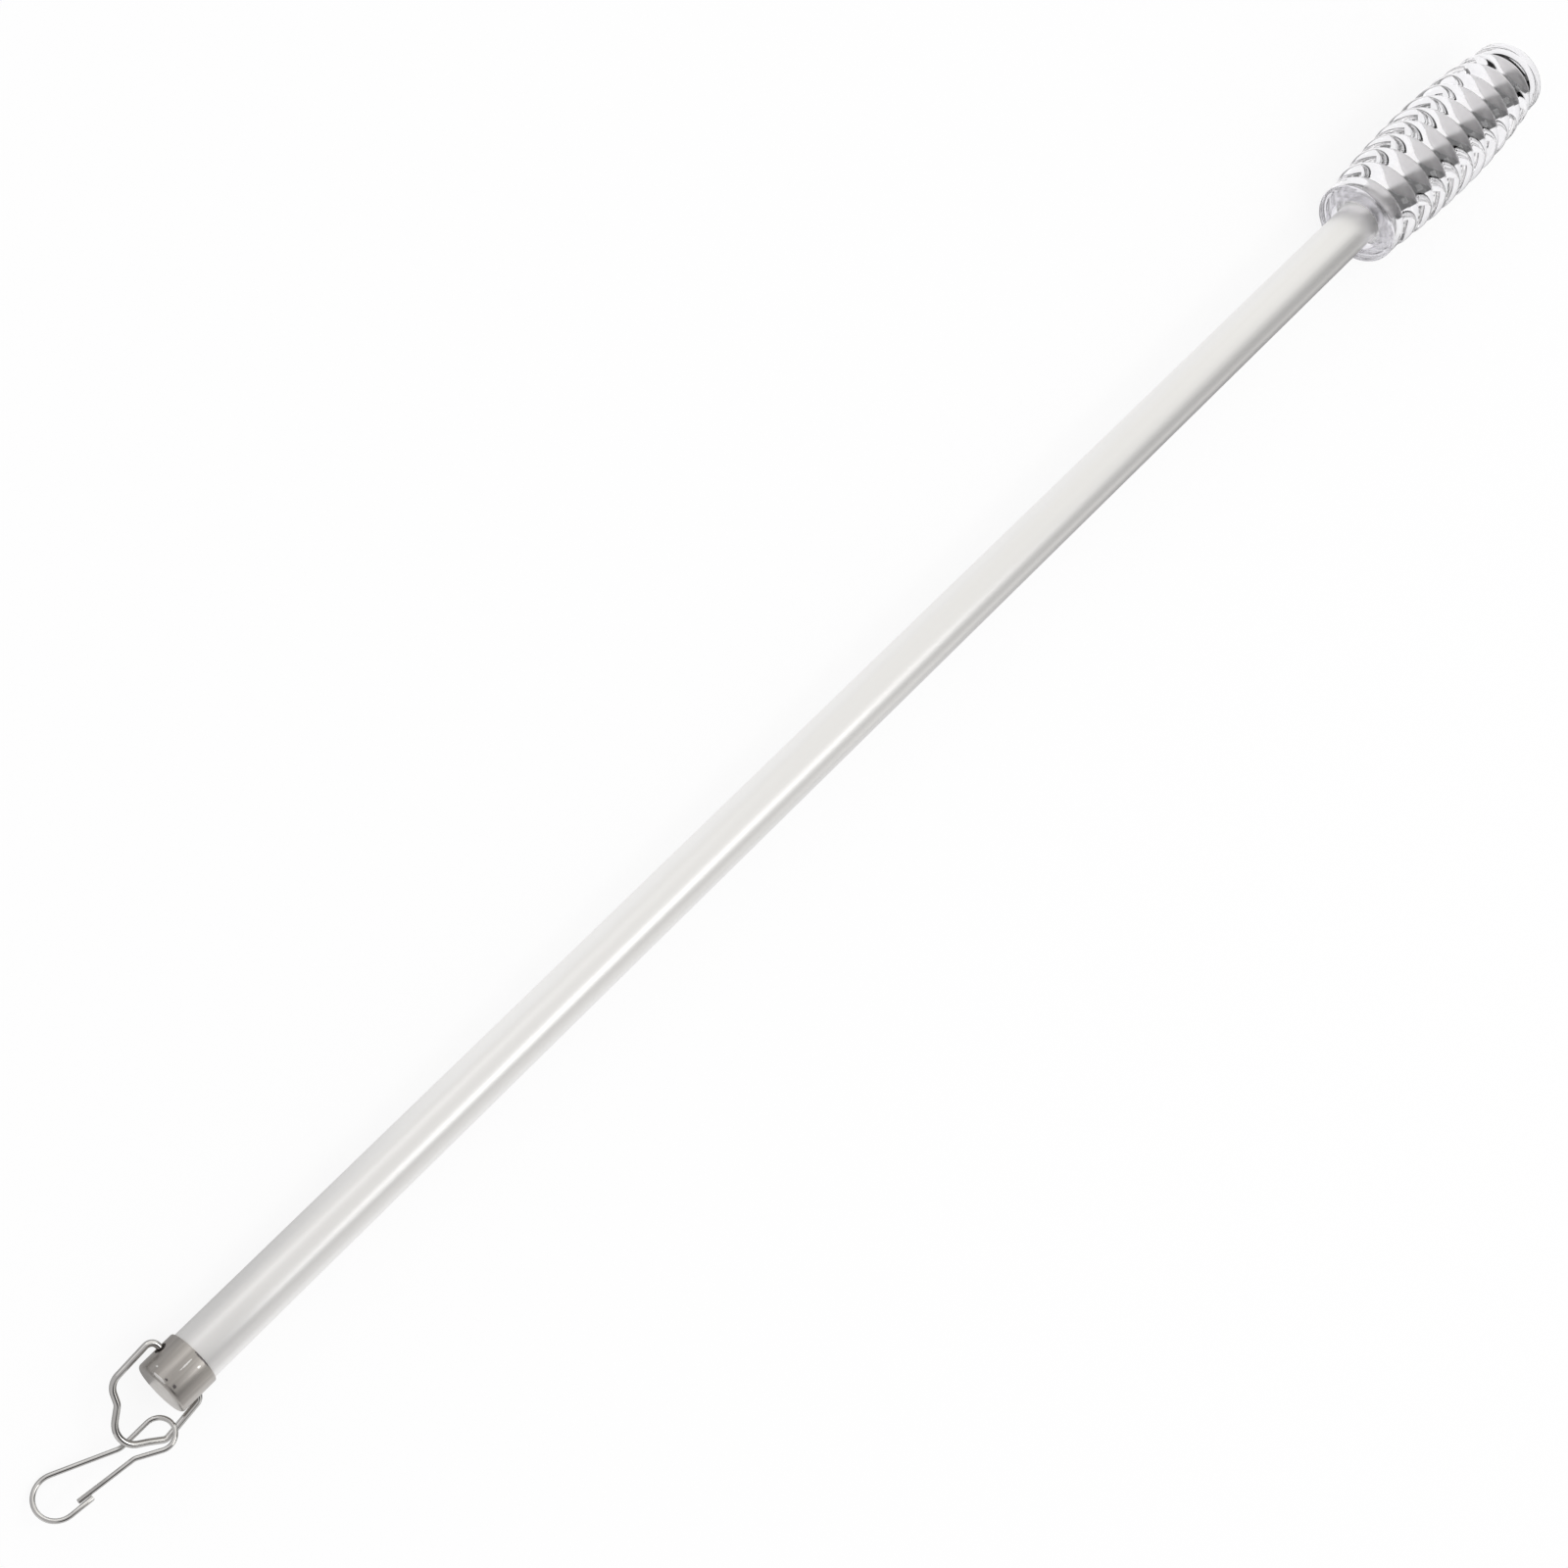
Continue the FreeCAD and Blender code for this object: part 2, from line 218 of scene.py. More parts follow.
def useGroup(tree, group, values):
    return addNode(tree, "ShaderNodeGroup", {"node_tree": group}, values).outputs


def ramp(tree, value, low, high):
    return addNode(tree, "ShaderNodeMapRange", None, {"Value": value, "To Min": low, "To Max": high}).outputs[0]


def mixColour(tree, factor, first, second):
    node = addNode(tree, "ShaderNodeMix", {"data_type": "RGBA"}, {"Factor": factor})
    for index, colour in ((6, first), (7, second)):
        if isinstance(colour, bpy.types.NodeSocket):
            tree.links.new(colour, node.inputs[index])
        else:
            node.inputs[index].default_value = (*colour, 1)
    return node.outputs[2]


def bump(tree, height, strength, distance):
    return addNode(tree, "ShaderNodeBump", None,
                   {"Height": height, "Strength": strength, "Distance": distance}).outputs[0]


tubeFinish = {"pale": (0.91, 0.905, 0.89), "dull": (0.83, 0.825, 0.815), "lines": 1.6, "stretch": 90.0,
              "roughLow": 0.32, "roughHigh": 0.44, "metallic": 0.7, "markScale": 1.4, "marks": 0.35,
              "markRough": 0.12, "bump": 0.12, "bumpDepth": 0.00003}


def makeSatinTube():
    material, tree, shader = newMaterial("satinTube", {"Metallic": tubeFinish["metallic"]})
    spot = wandCoordinates(tree)
    lines = useGroup(tree, grainLines, {"Vector": spot, "Lines": tubeFinish["lines"],
                                        "Stretch": tubeFinish["stretch"]})
    marks = useGroup(tree, speckles, {"Vector": spot, "Scale": tubeFinish["markScale"],
                                      "Amount": tubeFinish["marks"]})
    colour = mixColour(tree, lines["Broad"], tubeFinish["pale"], tubeFinish["dull"])
    tree.links.new(colour, shader.inputs["Base Color"])
    rough = ramp(tree, lines["Mask"], tubeFinish["roughLow"], tubeFinish["roughHigh"])
    rough = calc(tree, "ADD", rough, calc(tree, "MULTIPLY", marks["Mask"], tubeFinish["markRough"]))
    tree.links.new(rough, shader.inputs["Roughness"])
    tree.links.new(bump(tree, lines["Mask"], tubeFinish["bump"], tubeFinish["bumpDepth"]), shader.inputs["Normal"])
    return material


# the bare and pit colours also serve as a painted highlight and a painted shadow in the marks below
capFinish = {"pale": (0.61, 0.58, 0.55), "dull": (0.36, 0.34, 0.32), "pitAndShadow": (0.16, 0.15, 0.15),
             "bareAndHighlight": (0.95, 0.94, 0.92), "roughLow": 0.3, "roughHigh": 0.4, "lines": 5.0, "stretch": 14.0,
             "pitScale": 2.2, "pits": 0.4, "bump": 0.07, "bumpDepth": 0.00003}
# marks on the cap, wear with one painted shadow and one painted highlight among them: where each lies, its half
# lengths on the three axes, and what shows there
capMarksAndPaintedLight = [
    {"at": (0.70, 1.95, 5.08), "half": (1.5, 0.16, 0.5), "kind": "bareAndHighlight"},
    {"at": (-3.26, 0.69, 5.41), "half": (0.34, 0.42, 0.5), "kind": "pitAndShadow"},
    {"at": (-3.42, 2.37, 4.91), "half": (0.25, 0.3, 0.5), "kind": "pitAndShadow"},
    {"at": (-2.83, 4.60, 2.92), "half": (0.2, 0.2, 0.3), "kind": "bareAndHighlight"},
    {"at": (1.85, 0.14, 5.45), "half": (0.32, 0.2, 0.4), "kind": "bareAndHighlight"},
    # painted shadow: a dark line along the lip, where the cap meets the tube
    {"at": (3.15, 1.0, 5.35), "half": (0.26, 2.0, 1.0), "kind": "pitAndShadow"},
    # painted highlight: a bright crescent along the rounded edge of the closed end
    {"at": (-4.0, 3.3, 4.2), "half": (0.22, 1.7, 1.4), "kind": "bareAndHighlight"},
]


def makeBrushedCap():
    material, tree, shader = newMaterial("brushedCap", {"Metallic": 1.0})
    spot = wandCoordinates(tree)
    lines = useGroup(tree, grainLines, {"Vector": spot, "Lines": capFinish["lines"],
                                        "Stretch": capFinish["stretch"]})
    pits = useGroup(tree, speckles, {"Vector": spot, "Scale": capFinish["pitScale"], "Amount": capFinish["pits"]})
    colour = mixColour(tree, lines["Broad"], capFinish["pale"], capFinish["dull"])
    colour = mixColour(tree, pits["Mask"], colour, capFinish["pitAndShadow"])
    # wear marks, with one painted shadow and one painted highlight among them
    for mark in capMarksAndPaintedLight:
        mask = useGroup(tree, wearMark, {"Vector": spot, "Centre": mark["at"], "Half": mark["half"]})["Mask"]
        colour = mixColour(tree, mask, colour, capFinish[mark["kind"]])
    tree.links.new(colour, shader.inputs["Base Color"])
    rough = ramp(tree, lines["Mask"], capFinish["roughLow"], capFinish["roughHigh"])
    tree.links.new(rough, shader.inputs["Roughness"])
    tree.links.new(bump(tree, lines["Mask"], capFinish["bump"], capFinish["bumpDepth"]), shader.inputs["Normal"])
    return material


wireFinish = {"pale": (0.82, 0.81, 0.79), "dull": (0.62, 0.61, 0.60), "edgeTint": (0.0, 0.0, 0.0, 1.0),
              "roughLow": 0.06, "roughHigh": 0.14, "lines": 2.4, "stretch": 1.0,
              "pitScale": 3.0, "pits": 0.4, "pitRough": 0.2, "bump": 0.06, "bumpDepth": 0.00003}


def makeBrightWire():
    material, tree, shader = newMaterial(
        "brightWire", {"Metallic": 1.0, "Specular Tint": wireFinish["edgeTint"]})
    spot = wandCoordinates(tree)
    lines = useGroup(tree, grainLines, {"Vector": spot, "Lines": wireFinish["lines"],
                                        "Stretch": wireFinish["stretch"]})
    pits = useGroup(tree, speckles, {"Vector": spot, "Scale": wireFinish["pitScale"], "Amount": wireFinish["pits"]})
    colour = mixColour(tree, lines["Broad"], wireFinish["pale"], wireFinish["dull"])
    tree.links.new(colour, shader.inputs["Base Color"])
    rough = ramp(tree, lines["Mask"], wireFinish["roughLow"], wireFinish["roughHigh"])
    rough = calc(tree, "ADD", rough, calc(tree, "MULTIPLY", pits["Mask"], wireFinish["pitRough"]))
    tree.links.new(rough, shader.inputs["Roughness"])
    tree.links.new(bump(tree, lines["Mask"], wireFinish["bump"], wireFinish["bumpDepth"]), shader.inputs["Normal"])
    return material


gripFinish = {"tint": (0.975, 0.97, 0.985), "cloud": (0.955, 0.95, 0.975), "roughLow": 0.0, "roughHigh": 0.03,
              "frost": (0.90, 0.885, 0.95), "frostRough": 0.22, "frostFrom": 363.6, "frostTo": 364.4,
              "index": 1.49, "cloudScale": 0.12, "bump": 0.03, "bumpDepth": 0.0003}


def makeClearGrip():
    material, tree, shader = newMaterial("clearGrip", {"Transmission Weight": 1.0, "IOR": gripFinish["index"]})
    spot = wandCoordinates(tree)
    cloud = addNode(tree, "ShaderNodeTexNoise", None,
                    {"Vector": spot, "Scale": gripFinish["cloudScale"], "Detail": 3.0}).outputs["Fac"]
    colour = mixColour(tree, cloud, gripFinish["tint"], gripFinish["cloud"])
    # the mouth's face is left dull
    along = addNode(tree, "ShaderNodeSeparateXYZ", None, {0: spot}).outputs[0]
    frost = smoothRamp(tree, along, gripFinish["frostTo"], gripFinish["frostFrom"])
    colour = mixColour(tree, frost, colour, gripFinish["frost"])
    tree.links.new(colour, shader.inputs["Base Color"])
    rough = ramp(tree, cloud, gripFinish["roughLow"], gripFinish["roughHigh"])
    rough = calc(tree, "ADD", rough, calc(tree, "MULTIPLY", frost, gripFinish["frostRough"]))
    tree.links.new(rough, shader.inputs["Roughness"])
    tree.links.new(bump(tree, cloud, gripFinish["bump"], gripFinish["bumpDepth"]), shader.inputs["Normal"])
    return material


satinTube = makeSatinTube()
brushedCap = makeBrushedCap()
brightWire = makeBrightWire()
clearGrip = makeClearGrip()
print("stage: finishes made")


# turned pieces: a closed outline of (along, radius) points spun round the tube's axis

def spinOutline(name, outline, sides, material):
    shape = bmesh.new()
    rings = []
    for along, radius in outline:
        turns = [2 * math.pi * step / sides for step in range(sides)]
        rings.append([shape.verts.new((along, radius * math.cos(a), radius * math.sin(a))) for a in turns])
    for first, second in zip(rings, rings[1:] + rings[:1]):
        for step in range(sides):
            onward = (step + 1) % sides
            shape.faces.new((first[step], first[onward], second[onward], second[step]))
    bmesh.ops.remove_doubles(shape, verts=shape.verts, dist=0.0001)
    bmesh.ops.recalc_face_normals(shape, faces=shape.faces)
    mesh = bpy.data.meshes.new(name)
    shape.to_mesh(mesh)
    shape.free()
    mesh.materials.append(material)
    return linkObject(name, mesh)


def roundCorner(along, radius, size, fromDeg, toDeg, steps):
    points = []
    for step in range(steps + 1):
        angle = math.radians(fromDeg + (toDeg - fromDeg) * step / steps)
        points.append((along + size * math.cos(angle), radius + size * math.sin(angle)))
    return points


drillTool = {"sides": 40, "reach": 12.0, "sharpDeg": 32}


# the two cross holes that take the bail's ends
def drillAcross(obj, diameter):
    tool = bpy.data.meshes.new("drill")
    shape = bmesh.new()
    radius = diameter / 2
    bmesh.ops.create_cone(shape, cap_ends=True, segments=drillTool["sides"], radius1=radius, radius2=radius,
                          depth=2 * drillTool["reach"], matrix=Matrix.Rotation(math.radians(90), 4, "X"))
    shape.to_mesh(tool)
    shape.free()
    drill = linkObject("drill", tool)
    cut = obj.modifiers.new("holes", "BOOLEAN")
    cut.object = drill
    cut.solver = "EXACT"
    freeze(obj)
    bpy.data.objects.remove(drill)
    obj.data.shade_smooth()
    obj.data.set_sharp_from_angle(angle=math.radians(drillTool["sharpDeg"]))
    return obj


tubeShape = {"start": -3.6, "end": 426.2, "outer": 5.0, "inner": 4.0, "edge": 0.15, "hole": 2.3, "sides": 128,
             "ringStep": 20.0}


def makeTube():
    t = tubeShape
    outline = roundCorner(t["start"] + t["edge"], t["outer"] - t["edge"], t["edge"], 180, 90, 4)
    rings = int(t["end"] / t["ringStep"])
    outline += [(t["ringStep"] * step, t["outer"]) for step in range(1, rings + 1)]
    outline += roundCorner(t["end"] - t["edge"], t["outer"] - t["edge"], t["edge"], 90, 0, 4)
    outline += [(t["end"], t["inner"]), (t["start"], t["inner"])]
    tube = spinOutline("tube", outline, t["sides"], satinTube)
    return drillAcross(tube, t["hole"])


capShape = {"closed": -4.5, "lip": 3.3, "outer": 5.45, "inner": 5.03, "endWall": 0.8, "endRound": 0.7,
            "lipRound": 0.25, "hole": 2.3, "sides": 128}


def makeCap():
    c = capShape
    outline = [(c["closed"], 0.0)]
    outline += roundCorner(c["closed"] + c["endRound"], c["outer"] - c["endRound"], c["endRound"], 180, 90, 12)
    outline += roundCorner(c["lip"] - c["lipRound"], c["outer"] - c["lipRound"], c["lipRound"], 90, 0, 5)
    socketEnd = c["closed"] + c["endWall"]
    outline += [(c["lip"], c["inner"]), (socketEnd, c["inner"]), (socketEnd, 0.0)]
    cap = spinOutline("cap", outline, c["sides"], brushedCap)
    return drillAcross(cap, c["hole"])


finishPiece(makeTube(), wandFrame, "wand", "rod_tube")
finishPiece(makeCap(), wandFrame, "wand", "end_cap")


# bent wire: corner points with a bend radius each, rounded and swept by nodes

def makeWireTree():
    tree, given = newGeometryTree(
        "bentWire", [("Wire radius", "Float"), ("Bend steps", "Int"), ("Sides", "Int")])
    line = addNode(tree, "GeometryNodeMeshToCurve", None, {"Mesh": given["Geometry"]}).outputs[0]
    bend = addNode(tree, "GeometryNodeInputNamedAttribute", {"data_type": "FLOAT"}, {"Name": "bend"}).outputs[0]
    curved = addNode(tree, "GeometryNodeFilletCurve", {"mode": "POLY"},
                     {"Curve": line, "Count": given["Bend steps"], "Radius": bend, "Limit Radius": True}).outputs[0]
    taper = addNode(tree, "GeometryNodeInputNamedAttribute", {"data_type": "FLOAT"}, {"Name": "taper"}).outputs[0]
    ring = addNode(tree, "GeometryNodeCurvePrimitiveCircle", None,
                   {"Resolution": given["Sides"], "Radius": given["Wire radius"]}).outputs[0]
    swept = addNode(tree, "GeometryNodeCurveToMesh", None,
                    {"Curve": curved, "Profile Curve": ring, "Scale": taper, "Fill Caps": True}).outputs[0]
    endGeometryTree(tree, swept, brightWire, sharpDeg=40)
    return tree


bentWire = makeWireTree()


# each cut end narrows over its last fraction of a millimetre: shares of that length and of the wire's size
cutTaper = ((0.0, 0.72), (0.35, 0.93), (1.0, 1.0))


def wireMesh(name, corners, cutRound):
    points = [Vector((x, y, 0.0)) for x, y, bend in corners]
    bends = [bend for x, y, bend in corners]
    tapers = [1.0] * len(points)
    for end, inside in ((0, 1), (-1, -2)):
        heading = (points[inside] - points[end]).normalized()
        extra = [(points[end] + heading * cutRound * share, size) for share, size in cutTaper]
        spots = slice(0, 1)
        if end == -1:
            extra.reverse()
            spots = slice(len(points) - 1, len(points))
        points[spots] = [point for point, size in extra]
        bends[spots] = [0.0] * len(extra)
        tapers[spots] = [size for point, size in extra]
    mesh = bpy.data.meshes.new(name)
    mesh.from_pydata(points, [(i, i + 1) for i in range(len(points) - 1)], [])
    for label, values in (("bend", bends), ("taper", tapers)):
        mesh.attributes.new(label, "FLOAT", "POINT").data.foreach_set("value", values)
    return mesh


# corner points of a circle's arc, spaced so that rounding them gives the arc back
def arcCorners(centre, radius, startDeg, endDeg, parts):
    step = math.radians(endDeg - startDeg) / parts
    far = radius / math.cos(step / 2)
    turns = [math.radians(startDeg) + step * (part + 0.5) for part in range(parts)]
    return [(centre[0] + far * math.cos(a), centre[1] + far * math.sin(a), radius) for a in turns]


bailShape = {"wire": 1.2, "tucked": 3.0, "half": 6.95, "hingeSide": 0.7, "eyeBend": 1.6, "leg": 9.0,
             "leftOut": 1.0, "leftSide": 0.1, "leftBend": 2.8, "rightOut": 0.0, "rightSide": 0.28, "rightBend": 1.5,
             "waistOut": 2.3, "waistHalf": 4.4, "waistSide": 1.0, "waistBend": 2.0,
             "tipOut": 7.9, "tipSide": 1.5, "tipBend": 3.8, "cutRound": 0.15}


def makeBail():
    b = bailShape
    waist = -b["leg"] - b["waistOut"]

    def side(sign, hand):
        return [(0.0, sign * b["tucked"], 0.0), (0.0, sign * b["half"] + b["hingeSide"], b["eyeBend"]),
                (-b["leg"] - b[hand + "Out"], sign * (b["half"] + b[hand + "Side"]), b[hand + "Bend"]),
                (waist, sign * b["waistHalf"] - b["waistSide"], b["waistBend"])]

    tip = (-b["leg"] - b["tipOut"], -b["tipSide"], b["tipBend"])
    corners = side(1, "left") + [tip] + side(-1, "right")[::-1]
    mesh = wireMesh("bailWire", corners, b["cutRound"])
    return runTree("bailWire", mesh, bentWire, {"Wire radius": b["wire"] / 2, "Bend steps": 16, "Sides": 28})


finishPiece(makeBail(), wandFrame, "bail", "bail")

# the hook's own frame: eye at the origin, x towards the wand, lying askew in the bail
hookLoop = [mount for mount in frame["record"]["mounts"] if mount["name"] == "hook_loop"][0]
hookShape = {"wire": 0.9, "eye": 2.85, "armNeck": 5.85, "gateNeck": 5.5, "neckWidth": 2.95, "reach": 18.45,
             "offset": 4.5, "loop": 3.95, "endLength": 4.4, "endDeg": 6.0, "overlap": 2.3, "gap": 0.15,
             "armBend": 3.0, "gateBend": 2.0, "cutRound": 0.12}


# the record gives the middle of the big loop and the way its flat side faces
def hookFrame():
    facing = Vector(hookLoop["axis"]).normalized()
    alongTube = wandTurn.to_3x3() @ Vector((1, 0, 0))
    forward = (alongTube - facing * alongTube.dot(facing)).normalized()
    axes = Matrix((forward, facing.cross(forward), facing)).transposed().to_4x4() @ inMillimetres
    loopMiddle = axes @ Vector((-hookShape["reach"], hookShape["offset"], 0))
    return Matrix.Translation(Vector(hookLoop["pos_m"]) - loopMiddle) @ axes


def makeHook():
    h = hookShape
    centre = Vector((-h["reach"], h["offset"]))
    armNeck = Vector((-h["armNeck"], h["eye"]))
    gateNeck = Vector((-h["gateNeck"], h["eye"] - h["neckWidth"]))
    toCentre = centre - armNeck
    armHeading = math.atan2(toCentre.y, toCentre.x) - math.asin(h["loop"] / toCentre.length)
    loopStart = math.degrees(armHeading) - 90
    loopLast = 270 - h["endDeg"]
    endTurn = math.radians(-h["endDeg"])
    along = Vector((math.cos(endTurn), math.sin(endTurn)))
    inward = Vector((-along.y, along.x))
    hookEnd = centre - inward * h["loop"] + along * h["endLength"]
    gateTip = hookEnd - along * h["overlap"] + inward * (h["wire"] + h["gap"])
    eyeFirst = math.degrees(math.atan2(gateNeck.y, gateNeck.x) + math.acos(h["eye"] / gateNeck.length)) % 360
    corners = [(gateTip.x, gateTip.y, 0.0), (gateNeck.x, gateNeck.y, h["gateBend"])]
    corners += arcCorners((0.0, 0.0), h["eye"], eyeFirst, 450, 3)
    corners += [(armNeck.x, armNeck.y, h["armBend"])]
    corners += arcCorners(centre, h["loop"], loopStart, loopLast, 3)
    corners += [(hookEnd.x, hookEnd.y, 0.0)]
    mesh = wireMesh("hookWire", corners, h["cutRound"])
    return runTree("hookWire", mesh, bentWire, {"Wire radius": h["wire"] / 2, "Bend steps": 18, "Sides": 24})


finishPiece(makeHook(), hookFrame(), "hook", "snap_hook")

# the clear grip: a barrel of round ribs with a blind bore and a coned mouth
gripShape = {"mouth": 363.3, "Length": 67.0, "Middle radius": 11.75, "Mouth end radius": 9.65,
             "Far end radius": 8.7, "Ribs": 12, "Rib depth": 1.1, "Steps": 24, "Mouth edge": 0.7, "End edge": 1.8,
             "Bore radius": 5.05, "Bore depth": 63.0, "Mouth radius": 6.4, "Mouth depth": 1.6}


def makeGripTree():
    whole = ("Ribs", "Steps")
    sides = 144
    nudge = 0.00001
    names = [name for name in gripShape if name != "mouth"]
    tree, given = newGeometryTree("ribbedGrip", [(name, "Int" if name in whole else "Float") for name in names])
    far = addNode(tree, "ShaderNodeCombineXYZ", None, {0: given["Length"]}).outputs[0]
    line = addNode(tree, "GeometryNodeCurvePrimitiveLine", None, {"End": far}).outputs[0]
    count = calc(tree, "MULTIPLY_ADD", given["Ribs"], given["Steps"], 1.0)
    line = addNode(tree, "GeometryNodeResampleCurve", None, {"Curve": line, "Count": count}).outputs[0]
    place = addNode(tree, "GeometryNodeInputPosition").outputs[0]
    along = addNode(tree, "ShaderNodeSeparateXYZ", None, {0: place}).outputs[0]
    # barrel outline, plain from each face to the first crest
    half = calc(tree, "DIVIDE", calc(tree, "MULTIPLY", given["Length"], 0.5), given["Ribs"])
    lastCrest = calc(tree, "SUBTRACT", given["Length"], half)
    held = calc(tree, "MINIMUM", calc(tree, "MAXIMUM", along, half), lastCrest)
    share = calc(tree, "DIVIDE", held, given["Length"])
    fromMiddle = calc(tree, "MULTIPLY_ADD", share, 2.0, -1.0)
    farSide = calc(tree, "GREATER_THAN", fromMiddle, 0.0)
    endStep = calc(tree, "SUBTRACT", given["Far end radius"], given["Mouth end radius"])
    endRadius = calc(tree, "MULTIPLY_ADD", farSide, endStep, given["Mouth end radius"])
    bulge = calc(tree, "SUBTRACT", given["Middle radius"], endRadius)
    drop = calc(tree, "MULTIPLY", bulge, calc(tree, "MULTIPLY", fromMiddle, fromMiddle))
    crest = calc(tree, "SUBTRACT", given["Middle radius"], drop)
    # one arc for each rib, meeting the next in a sharp groove
    inRib = calc(tree, "FRACT", calc(tree, "MULTIPLY_ADD", share, given["Ribs"], nudge))
    off = calc(tree, "MULTIPLY", calc(tree, "MULTIPLY_ADD", inRib, 2.0, -1.0), half)
    deep = given["Rib depth"]
    squares = calc(tree, "ADD", calc(tree, "MULTIPLY", half, half), calc(tree, "MULTIPLY", deep, deep))
    arc = calc(tree, "DIVIDE", squares, calc(tree, "MULTIPLY", deep, 2.0))

    def sagitta(radius, offset):
        left = calc(tree, "SUBTRACT", calc(tree, "MULTIPLY", radius, radius),
                    calc(tree, "MULTIPLY", offset, offset))
        return calc(tree, "SUBTRACT", radius, calc(tree, "SQRT", left))

    nearMouth = calc(tree, "MAXIMUM", calc(tree, "SUBTRACT", given["Mouth edge"], along), 0.0)
    endStart = calc(tree, "SUBTRACT", given["Length"], given["End edge"])
    nearEnd = calc(tree, "MAXIMUM", calc(tree, "SUBTRACT", along, endStart), 0.0)
    radius = calc(tree, "SUBTRACT", crest, sagitta(arc, off))
    radius = calc(tree, "SUBTRACT", radius, sagitta(given["Mouth edge"], nearMouth))
    radius = calc(tree, "SUBTRACT", radius, sagitta(given["End edge"], nearEnd))
    ring = addNode(tree, "GeometryNodeCurvePrimitiveCircle", None, {"Resolution": sides, "Radius": 1.0}).outputs[0]
    barrel = addNode(tree, "GeometryNodeCurveToMesh", None,
                     {"Curve": line, "Profile Curve": ring, "Scale": radius, "Fill Caps": True}).outputs[0]
    # blind bore, and the cone at its mouth carried on past the face
    clear = 1.0
    overlap = 0.02
    alongTube = (0.0, math.radians(90), 0.0)

    def lay(mesh, shift):
        base = addNode(tree, "ShaderNodeCombineXYZ", None, {0: shift}).outputs[0]
        return addNode(tree, "GeometryNodeTransform", None,
                       {"Geometry": mesh, "Translation": base, "Rotation": alongTube}).outputs[0]

    boreLength = calc(tree, "ADD", given["Bore depth"], clear)
    bore = addNode(tree, "GeometryNodeMeshCylinder", None,
                   {"Vertices": sides, "Radius": given["Bore radius"], "Depth": boreLength}).outputs["Mesh"]
    bore = lay(bore, calc(tree, "MULTIPLY", calc(tree, "SUBTRACT", given["Bore depth"], clear), 0.5))
    flare = calc(tree, "SUBTRACT", given["Mouth radius"], given["Bore radius"])
    widen = calc(tree, "DIVIDE", flare, given["Mouth depth"])
    coneBase = calc(tree, "MULTIPLY_ADD", widen, clear, given["Mouth radius"])
    coneTop = calc(tree, "SUBTRACT", given["Bore radius"], overlap)
    cone = addNode(tree, "GeometryNodeMeshCone", None, {
        "Vertices": sides, "Radius Top": coneTop, "Radius Bottom": coneBase,
        "Depth": calc(tree, "ADD", given["Mouth depth"], clear)}).outputs["Mesh"]
    cone = lay(cone, calc(tree, "MULTIPLY", clear, -1.0))
    hollow = addNode(tree, "GeometryNodeMeshBoolean", {"operation": "DIFFERENCE", "solver": "EXACT"})
    tree.links.new(barrel, hollow.inputs["Mesh 1"])
    tree.links.new(bore, hollow.inputs["Mesh 2"])
    tree.links.new(cone, hollow.inputs["Mesh 2"])
    hollow.inputs["Self Intersection"].default_value = True
    endGeometryTree(tree, hollow.outputs["Mesh"], clearGrip, sharpDeg=30)
    return tree


def makeGrip():
    values = {name: value for name, value in gripShape.items() if name != "mouth"}
    return runTree("clearGrip", bpy.data.meshes.new("clearGrip"), makeGripTree(), values)


finishPiece(makeGrip(), wandFrame @ Matrix.Translation((gripShape["mouth"], 0, 0)), "wand", "grip")

# floor, light and camera

# how far along the wand reflections of the floor go from dark to light, on each side of it
floorShade = {"left": {"dark": -0.19, "light": -0.11, "level": 0.45},
              "right": {"dark": 0.12, "light": -0.08, "level": 0.04}, "glow": 0.86, "reach": 3.0}


def makeFloor():
    material, tree, shader = newMaterial("whiteFloor", {"Base Color": (0.9, 0.9, 0.9, 1), "Roughness": 0.9})
    path = addNode(tree, "ShaderNodeLightPath").outputs
    seen = calc(tree, "MAXIMUM", path["Is Camera Ray"],
                calc(tree, "MAXIMUM", path["Is Glossy Ray"], path["Is Transmission Ray"]))
    place = addNode(tree, "ShaderNodeTexCoord").outputs["Object"]
    spot = addNode(tree, "ShaderNodeSeparateXYZ", None, {0: place}).outputs

    def fade(name):
        f = floorShade[name]
        return smoothRamp(tree, spot[0], f["dark"], f["light"], low=f["level"])

    leftSide = calc(tree, "GREATER_THAN", spot[1], 0.0)
    leftMore = calc(tree, "SUBTRACT", fade("left"), fade("right"))
    level = calc(tree, "MULTIPLY_ADD", leftSide, leftMore, fade("right"))
    mirrored = calc(tree, "SUBTRACT", path["Is Glossy Ray"], path["Is Transmission Ray"])
    mirrored = calc(tree, "MAXIMUM", mirrored, 0.0)
    dimming = calc(tree, "MULTIPLY", mirrored, calc(tree, "SUBTRACT", level, 1.0))
    white = addNode(tree, "ShaderNodeEmission", None,
                    {"Color": (1, 1, 1, 1), "Strength": calc(tree, "ADD", dimming, 1.0)}).outputs[0]
    glow = calc(tree, "MULTIPLY", seen, floorShade["glow"])
    blend = addNode(tree, "ShaderNodeMixShader", None, {0: glow, 1: shader.outputs[0], 2: white})
    tree.links.new(blend.outputs[0], tree.nodes["Material Output"].inputs["Surface"])
    mesh = bpy.data.meshes.new("floor")
    reach = floorShade["reach"]
    corners = [(-reach, -reach, 0), (reach, -reach, 0), (reach, reach, 0), (-reach, reach, 0)]
    mesh.from_pydata(corners, [], [(0, 1, 2, 3)])
    mesh.materials.append(material)
    floor = linkObject("floor", mesh)


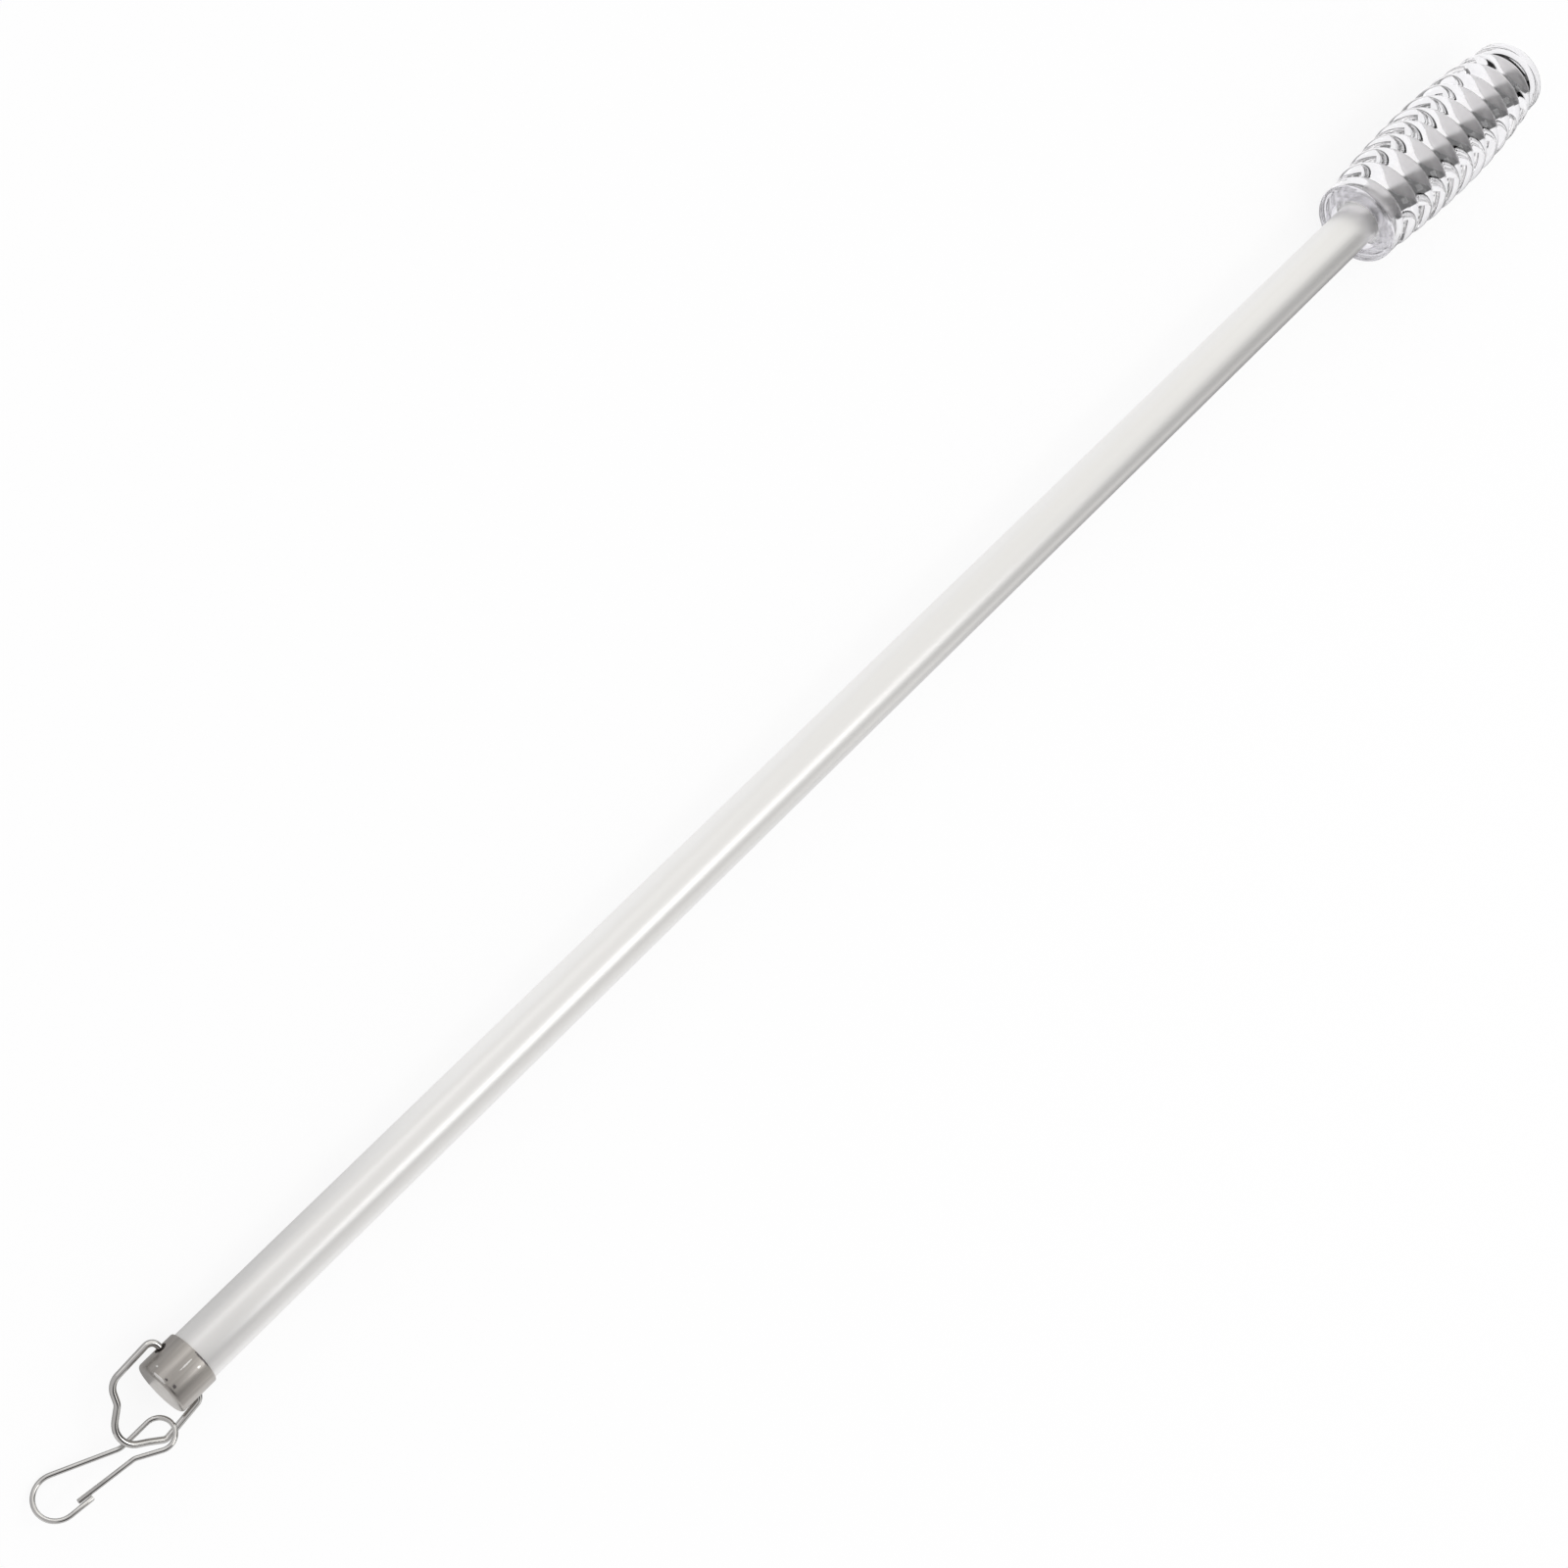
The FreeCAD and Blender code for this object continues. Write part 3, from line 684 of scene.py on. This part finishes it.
# a white tent, dimmer towards the hook's end, with darker openings in it
tent = {"near": (0.55, 0.54, 0.54), "far": (0.95, 0.94, 0.91), "nearX": 0.12, "farX": 0.36,
        "through": (1.0, 0.99, 0.985), "diffuse": (0.97, 0.96, 0.97)}
darkScreens = [
    {"toward": (0.14, -0.62, 0.77), "innerDeg": 5, "outerDeg": 13, "level": 0.12, "through": False},
    {"toward": (0.80, -0.44, 0.40), "innerDeg": 14, "outerDeg": 36, "level": 0.05, "through": False},
    {"toward": (-0.30, -0.30, 0.90), "innerDeg": 14, "outerDeg": 30, "level": 0.05, "through": False},
    {"toward": (0.80, -0.45, 0.40), "innerDeg": 38, "outerDeg": 48, "level": 0.15, "through": True},
]


def makeWorld():
    world = bpy.data.worlds.new("studio")
    bpy.context.scene.world = world
    world.use_nodes = True
    tree = world.node_tree
    shade = tree.nodes["Background"]
    path = addNode(tree, "ShaderNodeLightPath").outputs
    heading = addNode(tree, "ShaderNodeTexCoord").outputs["Generated"]
    sideways = addNode(tree, "ShaderNodeSeparateXYZ", None, {0: heading}).outputs[0]
    onward = smoothRamp(tree, sideways, tent["nearX"], tent["farX"])
    room = mixColour(tree, onward, tent["near"], tent["far"])
    through = tent["through"]
    for screen in darkScreens:
        toward = Vector(screen["toward"]).normalized()
        facing = addNode(tree, "ShaderNodeVectorMath", {"operation": "DOT_PRODUCT"}, {0: heading, 1: toward})
        outer, inner = (math.cos(math.radians(screen[edge])) for edge in ("outerDeg", "innerDeg"))
        mask = smoothRamp(tree, facing.outputs["Value"], outer, inner)
        if screen["through"]:
            through = mixColour(tree, mask, through, (screen["level"],) * 3)
        else:
            room = mixColour(tree, mask, room, (screen["level"],) * 3)
    sky = mixColour(tree, path["Is Transmission Ray"], room, through)
    sky = mixColour(tree, path["Is Diffuse Ray"], sky, tent["diffuse"])
    sky = mixColour(tree, path["Is Camera Ray"], sky, (1, 1, 1))
    tree.links.new(sky, shade.inputs["Color"])
    shade.inputs["Strength"].default_value = 1.0


lamps = [
    {"name": "keyPanel", "at": (0.0, 0.82, 0.55), "aim": (-0.1, 0.0, 0.0),
     "wide": 0.5, "deep": 0.3, "radiance": 0.6},
    {"name": "topPanel", "at": (0.12, -0.18, 0.56), "aim": (0.12, -0.18, 0.0),
     "wide": 0.36, "deep": 0.16, "radiance": 2.4},
]


def makeLamp(name, at, aim, wide, deep, radiance):
    data = bpy.data.lights.new(name, "AREA")
    data.shape, data.size, data.size_y = "RECTANGLE", wide, deep
    data.energy = radiance * math.pi * wide * deep
    lamp = linkObject(name, data)
    lamp.location = at
    lamp.rotation_euler = (Vector(aim) - Vector(at)).to_track_quat("-Z", "Y").to_euler()


# in the wand's frame: where the camera stands, and its right and up directions
cameraView = {"at": (-77.808, 172.643, 449.75), "right": (0.642, -0.538, 0.546), "up": (0.626, 0.779, 0.031),
              "lens": 63.0, "sensor": 36.0, "clipStart": 0.01, "clipEnd": 20.0}


def makeCamera():
    data = bpy.data.cameras.new("camera")
    data.lens, data.sensor_width = cameraView["lens"], cameraView["sensor"]
    data.clip_start, data.clip_end = cameraView["clipStart"], cameraView["clipEnd"]
    camera = linkObject("camera", data)
    right = Vector(cameraView["right"]).normalized()
    back = right.cross(Vector(cameraView["up"])).normalized()
    turn = wandTurn.to_3x3() @ Matrix((right, back.cross(right), back)).transposed()
    camera.matrix_world = Matrix.Translation(wandFrame @ Vector(cameraView["at"])) @ turn.to_4x4()
    bpy.context.scene.camera = camera


makeFloor()
makeWorld()
for lamp in lamps:
    makeLamp(**lamp)
makeCamera()
bpy.context.scene.view_settings.view_transform = "Standard"
print("stage: floor, light and camera set")
